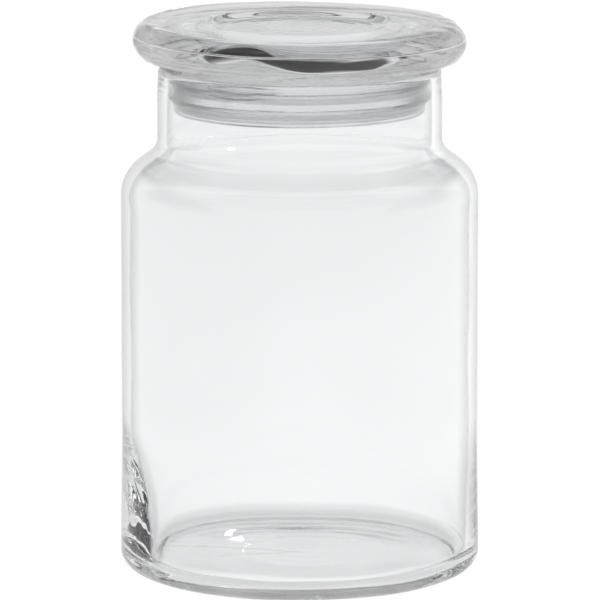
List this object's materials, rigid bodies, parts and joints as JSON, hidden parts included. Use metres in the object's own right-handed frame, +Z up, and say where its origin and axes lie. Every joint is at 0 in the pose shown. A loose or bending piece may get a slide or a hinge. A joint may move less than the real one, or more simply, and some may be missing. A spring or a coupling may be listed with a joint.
{
  "type": "apothecary jar",
  "caption": "Clear glass storage jar with a wide body, rounded shoulder and short straight neck, closed by a flat glass lid whose hollow plug carries a finned soft gasket.",
  "frame": {"origin": "on the jar's axis, in the plane of the flat ring it stands on", "axes": "+Z up along the jar's axis, towards the lid; the object is round, so X and Y are free"},
  "size_m": [0.103, 0.103, 0.158],
  "materials": {
    "jar_glass": "clear blown soda-lime glass, fire-polished, with faint waves in the wall and floor",
    "gasket_plastic": "soft translucent milky plastic, satin",
    "lid_glass": "thick clear pressed glass with flow ripples and a fire-polished rim"
  },
  "bodies": {
    "jar": {"jar_body": "jar_glass"},
    "gasket": {"gasket": "gasket_plastic"},
    "lid": {"lid": "lid_glass"}
  },
  "joints": [
    {"name": "lid_lift", "type": "slide", "parent": "jar", "child": "gasket", "axis": [0, 0, 1], "range_m": [0, 0.06]},
    {"name": "lid_turn", "type": "hinge", "parent": "gasket", "child": "lid", "pos_m": [0, 0, 0.1475], "axis": [0, 0, 1], "continuous": true}
  ]
}
